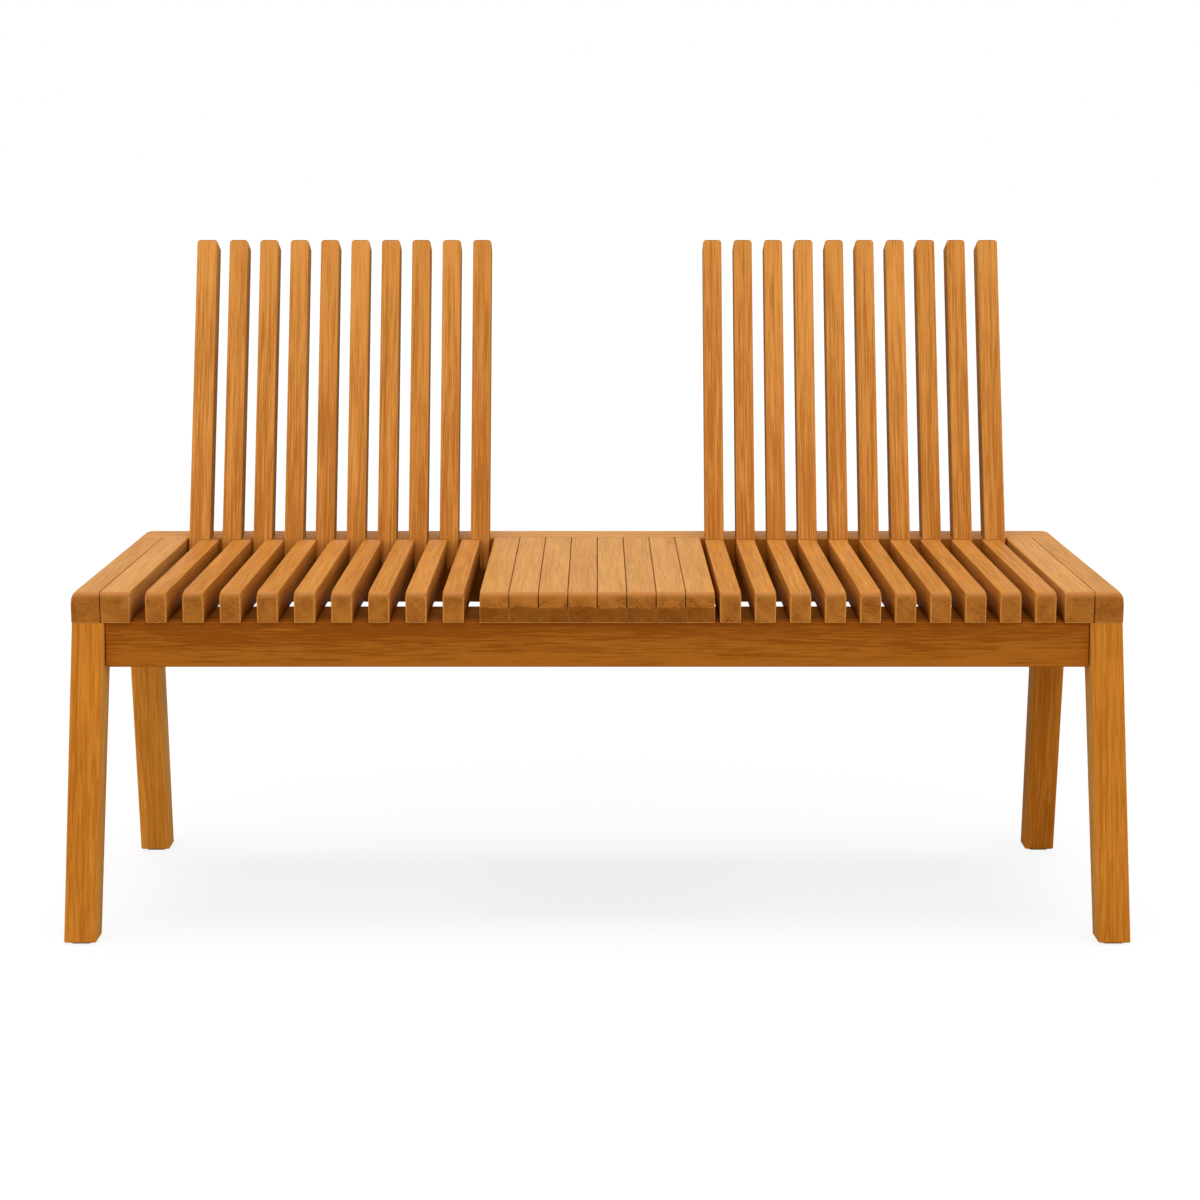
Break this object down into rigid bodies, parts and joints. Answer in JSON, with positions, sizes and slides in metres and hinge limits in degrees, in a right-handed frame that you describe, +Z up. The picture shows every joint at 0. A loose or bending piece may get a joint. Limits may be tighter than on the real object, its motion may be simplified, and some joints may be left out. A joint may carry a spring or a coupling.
{
  "type": "companion seat bench",
  "caption": "Slatted hardwood garden bench: seats with leaning slatted backs either side of a flush slatted table section, on splayed tapered legs",
  "frame": {"origin": "on the floor under the middle of the bench's bounding box", "axes": "+X along the bench to the right as seen from the front, +Y from the front to the back, +Z up"},
  "size_m": [1.358, 0.7626, 0.8664],
  "materials": {
    "seat_slat_teak": "oiled teak, satin, straight grain",
    "back_slat_teak": "oiled teak, satin, straight grain",
    "table_teak": "oiled teak, satin, fine grain",
    "leg_teak": "oiled teak, satin, straight grain",
    "rail_teak": "oiled teak, satin, darker streaks",
    "bolt_steel": "stainless, lightly brushed",
    "glide_plastic": "matt dark plastic"
  },
  "bodies": {
    "root": {"floor_glides": "glide_plastic", "front_bearer": "rail_teak", "front_left_leg": "leg_teak", "front_rail": "rail_teak", "front_right_leg": "leg_teak", "left_back_slat_01": "back_slat_teak", "left_back_slat_02": "back_slat_teak", "left_back_slat_03": "back_slat_teak", "left_back_slat_04": "back_slat_teak", "left_back_slat_05": "back_slat_teak", "left_back_slat_06": "back_slat_teak", "left_back_slat_07": "back_slat_teak", "left_back_slat_08": "back_slat_teak", "left_back_slat_09": "back_slat_teak", "left_back_slat_10": "back_slat_teak", "left_cross_rail": "rail_teak", "left_inner_end_slat": "table_teak", "left_outer_end_slat": "table_teak", "left_seat_slat_01": "seat_slat_teak", "left_seat_slat_02": "seat_slat_teak", "left_seat_slat_03": "seat_slat_teak", "left_seat_slat_04": "seat_slat_teak", "left_seat_slat_05": "seat_slat_teak", "left_seat_slat_06": "seat_slat_teak", "left_seat_slat_07": "seat_slat_teak", "left_seat_slat_08": "seat_slat_teak", "left_seat_slat_09": "seat_slat_teak", "left_side_rail": "rail_teak", "leg_bolts": "bolt_steel", "rear_cap_rail": "rail_teak", "rear_left_leg": "leg_teak", "rear_rail": "rail_teak", "rear_right_leg": "leg_teak", "right_back_slat_01": "back_slat_teak", "right_back_slat_02": "back_slat_teak", "right_back_slat_03": "back_slat_teak", "right_back_slat_04": "back_slat_teak", "right_back_slat_05": "back_slat_teak", "right_back_slat_06": "back_slat_teak", "right_back_slat_07": "back_slat_teak", "right_back_slat_08": "back_slat_teak", "right_back_slat_09": "back_slat_teak", "right_back_slat_10": "back_slat_teak", "right_cross_rail": "rail_teak", "right_inner_end_slat": "table_teak", "right_outer_end_slat": "table_teak", "right_seat_slat_01": "seat_slat_teak", "right_seat_slat_02": "seat_slat_teak", "right_seat_slat_03": "seat_slat_teak", "right_seat_slat_04": "seat_slat_teak", "right_seat_slat_05": "seat_slat_teak", "right_seat_slat_06": "seat_slat_teak", "right_seat_slat_07": "seat_slat_teak", "right_seat_slat_08": "seat_slat_teak", "right_seat_slat_09": "seat_slat_teak", "right_seat_slat_10": "seat_slat_teak", "right_side_rail": "rail_teak", "table_batten": "rail_teak", "table_slats": "table_teak"}
  },
  "joints": []
}
